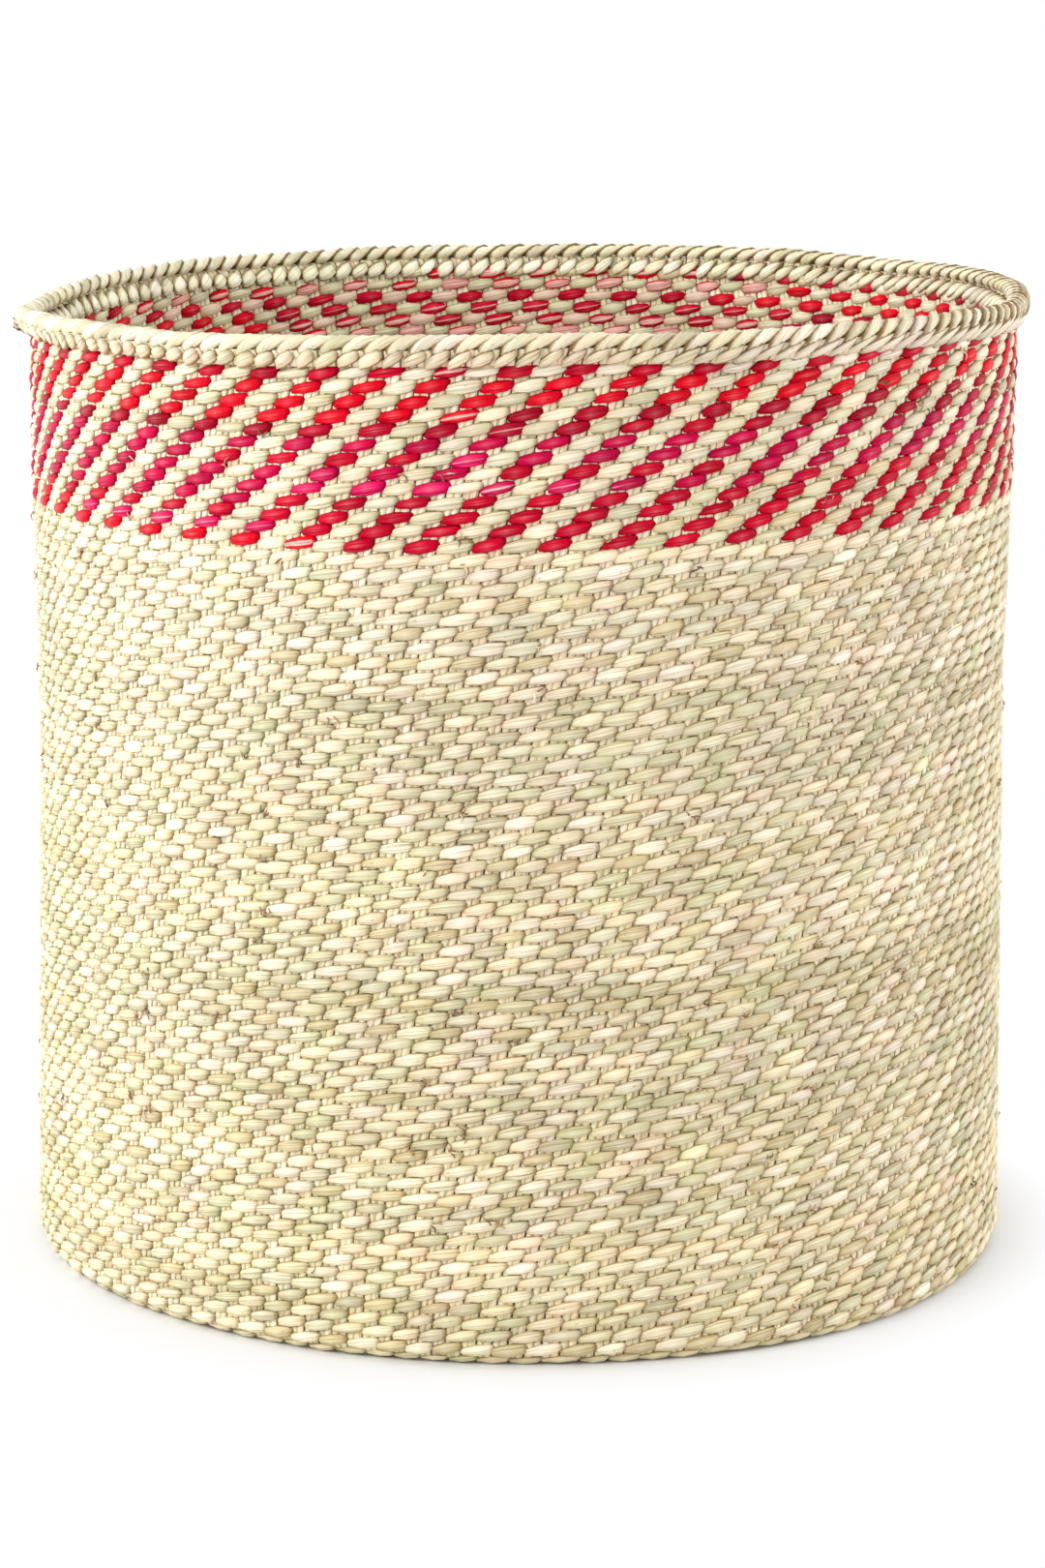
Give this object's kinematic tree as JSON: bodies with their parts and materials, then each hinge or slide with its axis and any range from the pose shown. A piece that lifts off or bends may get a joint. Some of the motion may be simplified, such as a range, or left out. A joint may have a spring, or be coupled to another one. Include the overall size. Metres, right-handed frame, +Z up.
{
  "type": "twined reed basket",
  "caption": "Round straight-sided reed storage basket with an open top, a dyed diagonal band under a rolled rim and a flat base.",
  "frame": {"origin": "centre of the base's underside, on the floor that the basket stands on", "axes": "+Z up along the basket's axis, -Y towards the side that the picture shows, +X to the picture's right"},
  "size_m": [0.332, 0.3312, 0.3167],
  "materials": {
    "natural_reed": "dry flattened reed, matte with a faint sheen, sage to straw",
    "pale_reed": "dry reed, matte, pale straw with fine fibre lines",
    "red_reed": "dyed reed, bright red, satin",
    "crimson_reed": "dyed reed, crimson, satin",
    "magenta_reed": "dyed reed, magenta with paler streaks, satin"
  },
  "bodies": {
    "root": {"base_start": "pale_reed", "base_weft_1": "natural_reed", "base_weft_2": "natural_reed", "foot_twine": "natural_reed", "natural_weft_1": "natural_reed", "natural_weft_2": "natural_reed", "natural_weft_3": "natural_reed", "band_weft_red_lower": "red_reed", "band_weft_magenta": "magenta_reed", "band_weft_crimson": "crimson_reed", "band_weft_red_upper": "red_reed", "border_twine": "natural_reed", "rim_roll": "natural_reed", "stakes_01": "pale_reed", "stakes_02": "pale_reed", "stakes_03": "pale_reed", "stakes_04": "pale_reed", "stakes_05": "pale_reed", "stakes_06": "pale_reed", "stakes_07": "pale_reed", "stakes_08": "pale_reed", "stakes_09": "pale_reed", "stakes_10": "pale_reed", "stakes_11": "pale_reed", "stakes_12": "pale_reed", "stakes_13": "pale_reed", "stakes_14": "pale_reed", "stakes_15": "pale_reed", "stakes_16": "pale_reed", "stakes_17": "pale_reed", "stakes_18": "pale_reed", "stakes_19": "pale_reed", "stakes_20": "pale_reed", "stakes_21": "pale_reed", "stakes_22": "pale_reed", "stakes_23": "pale_reed"}
  },
  "joints": []
}
